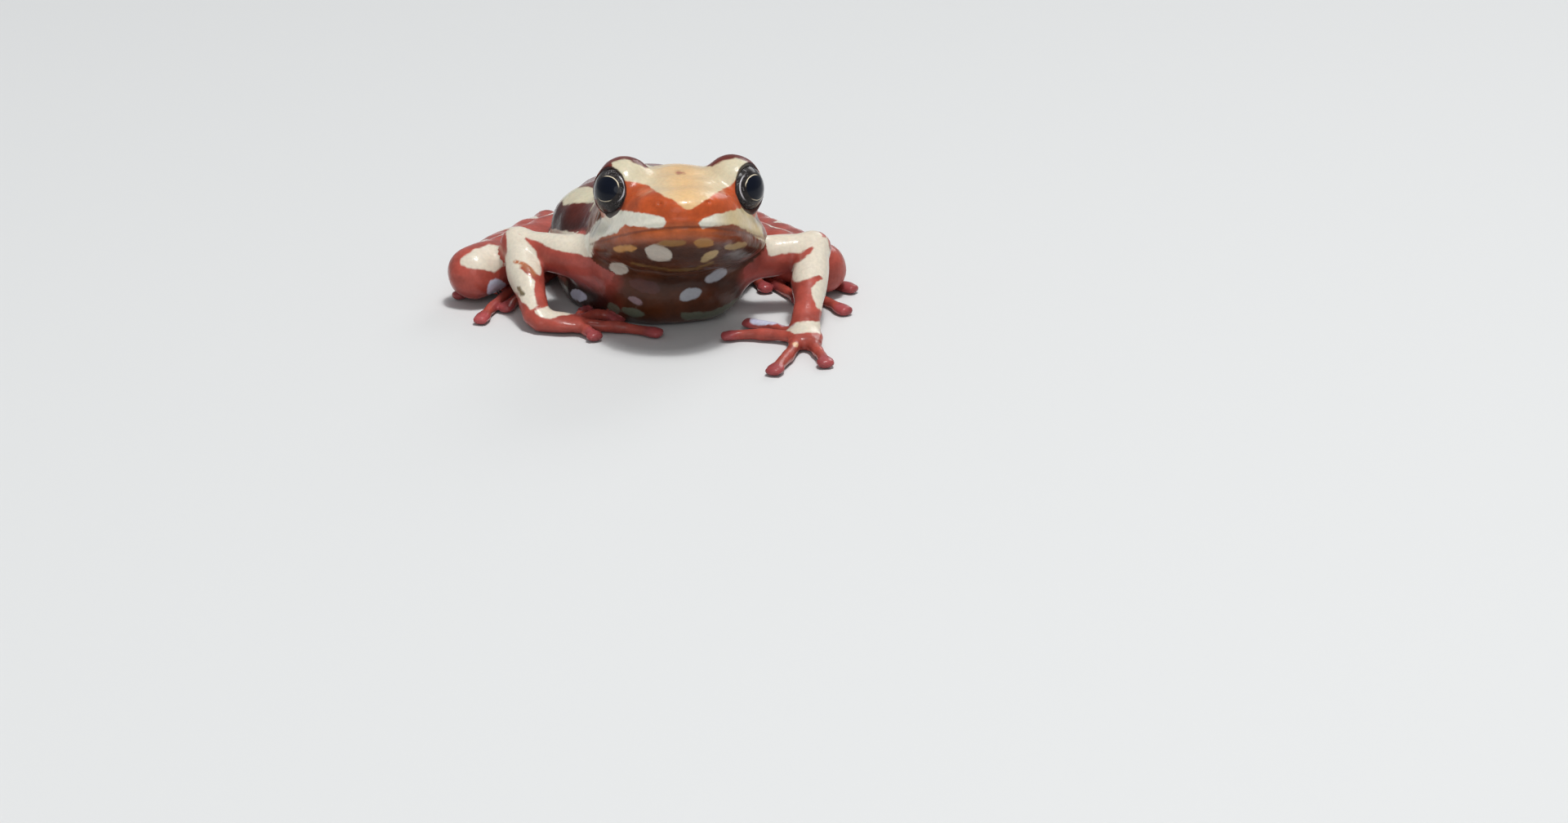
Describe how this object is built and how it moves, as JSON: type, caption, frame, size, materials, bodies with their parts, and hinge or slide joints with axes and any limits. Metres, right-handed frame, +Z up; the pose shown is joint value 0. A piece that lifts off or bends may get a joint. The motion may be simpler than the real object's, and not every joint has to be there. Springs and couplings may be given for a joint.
{
  "type": "phantasmal poison frog",
  "caption": "Still life-size model of a small smooth-skinned poison frog sitting with its head raised, forefeet spread and hind legs folded.",
  "frame": {"origin": "on the floor, under the middle of the box round the whole frog", "axes": "the frog faces -Y, its own left side is +X, and +Z is up from the floor"},
  "size_m": [0.0186, 0.0226, 0.0081],
  "materials": {
    "skin": "moist smooth skin, deep red with cream stripes and blotches, and a dark belly with pale spots",
    "eye": "wet black eye with a thin golden ring round the pupil"
  },
  "bodies": {
    "root": {"head": "skin", "trunk": "skin", "eye_left": "eye", "eye_right": "eye", "upper_arm_left": "skin", "upper_arm_right": "skin", "forearm_left": "skin", "forearm_right": "skin", "hand_left": "skin", "hand_right": "skin", "thigh_left": "skin", "thigh_right": "skin", "shank_left": "skin", "shank_right": "skin", "tarsus_left": "skin", "tarsus_right": "skin", "foot_left": "skin", "foot_right": "skin"}
  },
  "joints": []
}
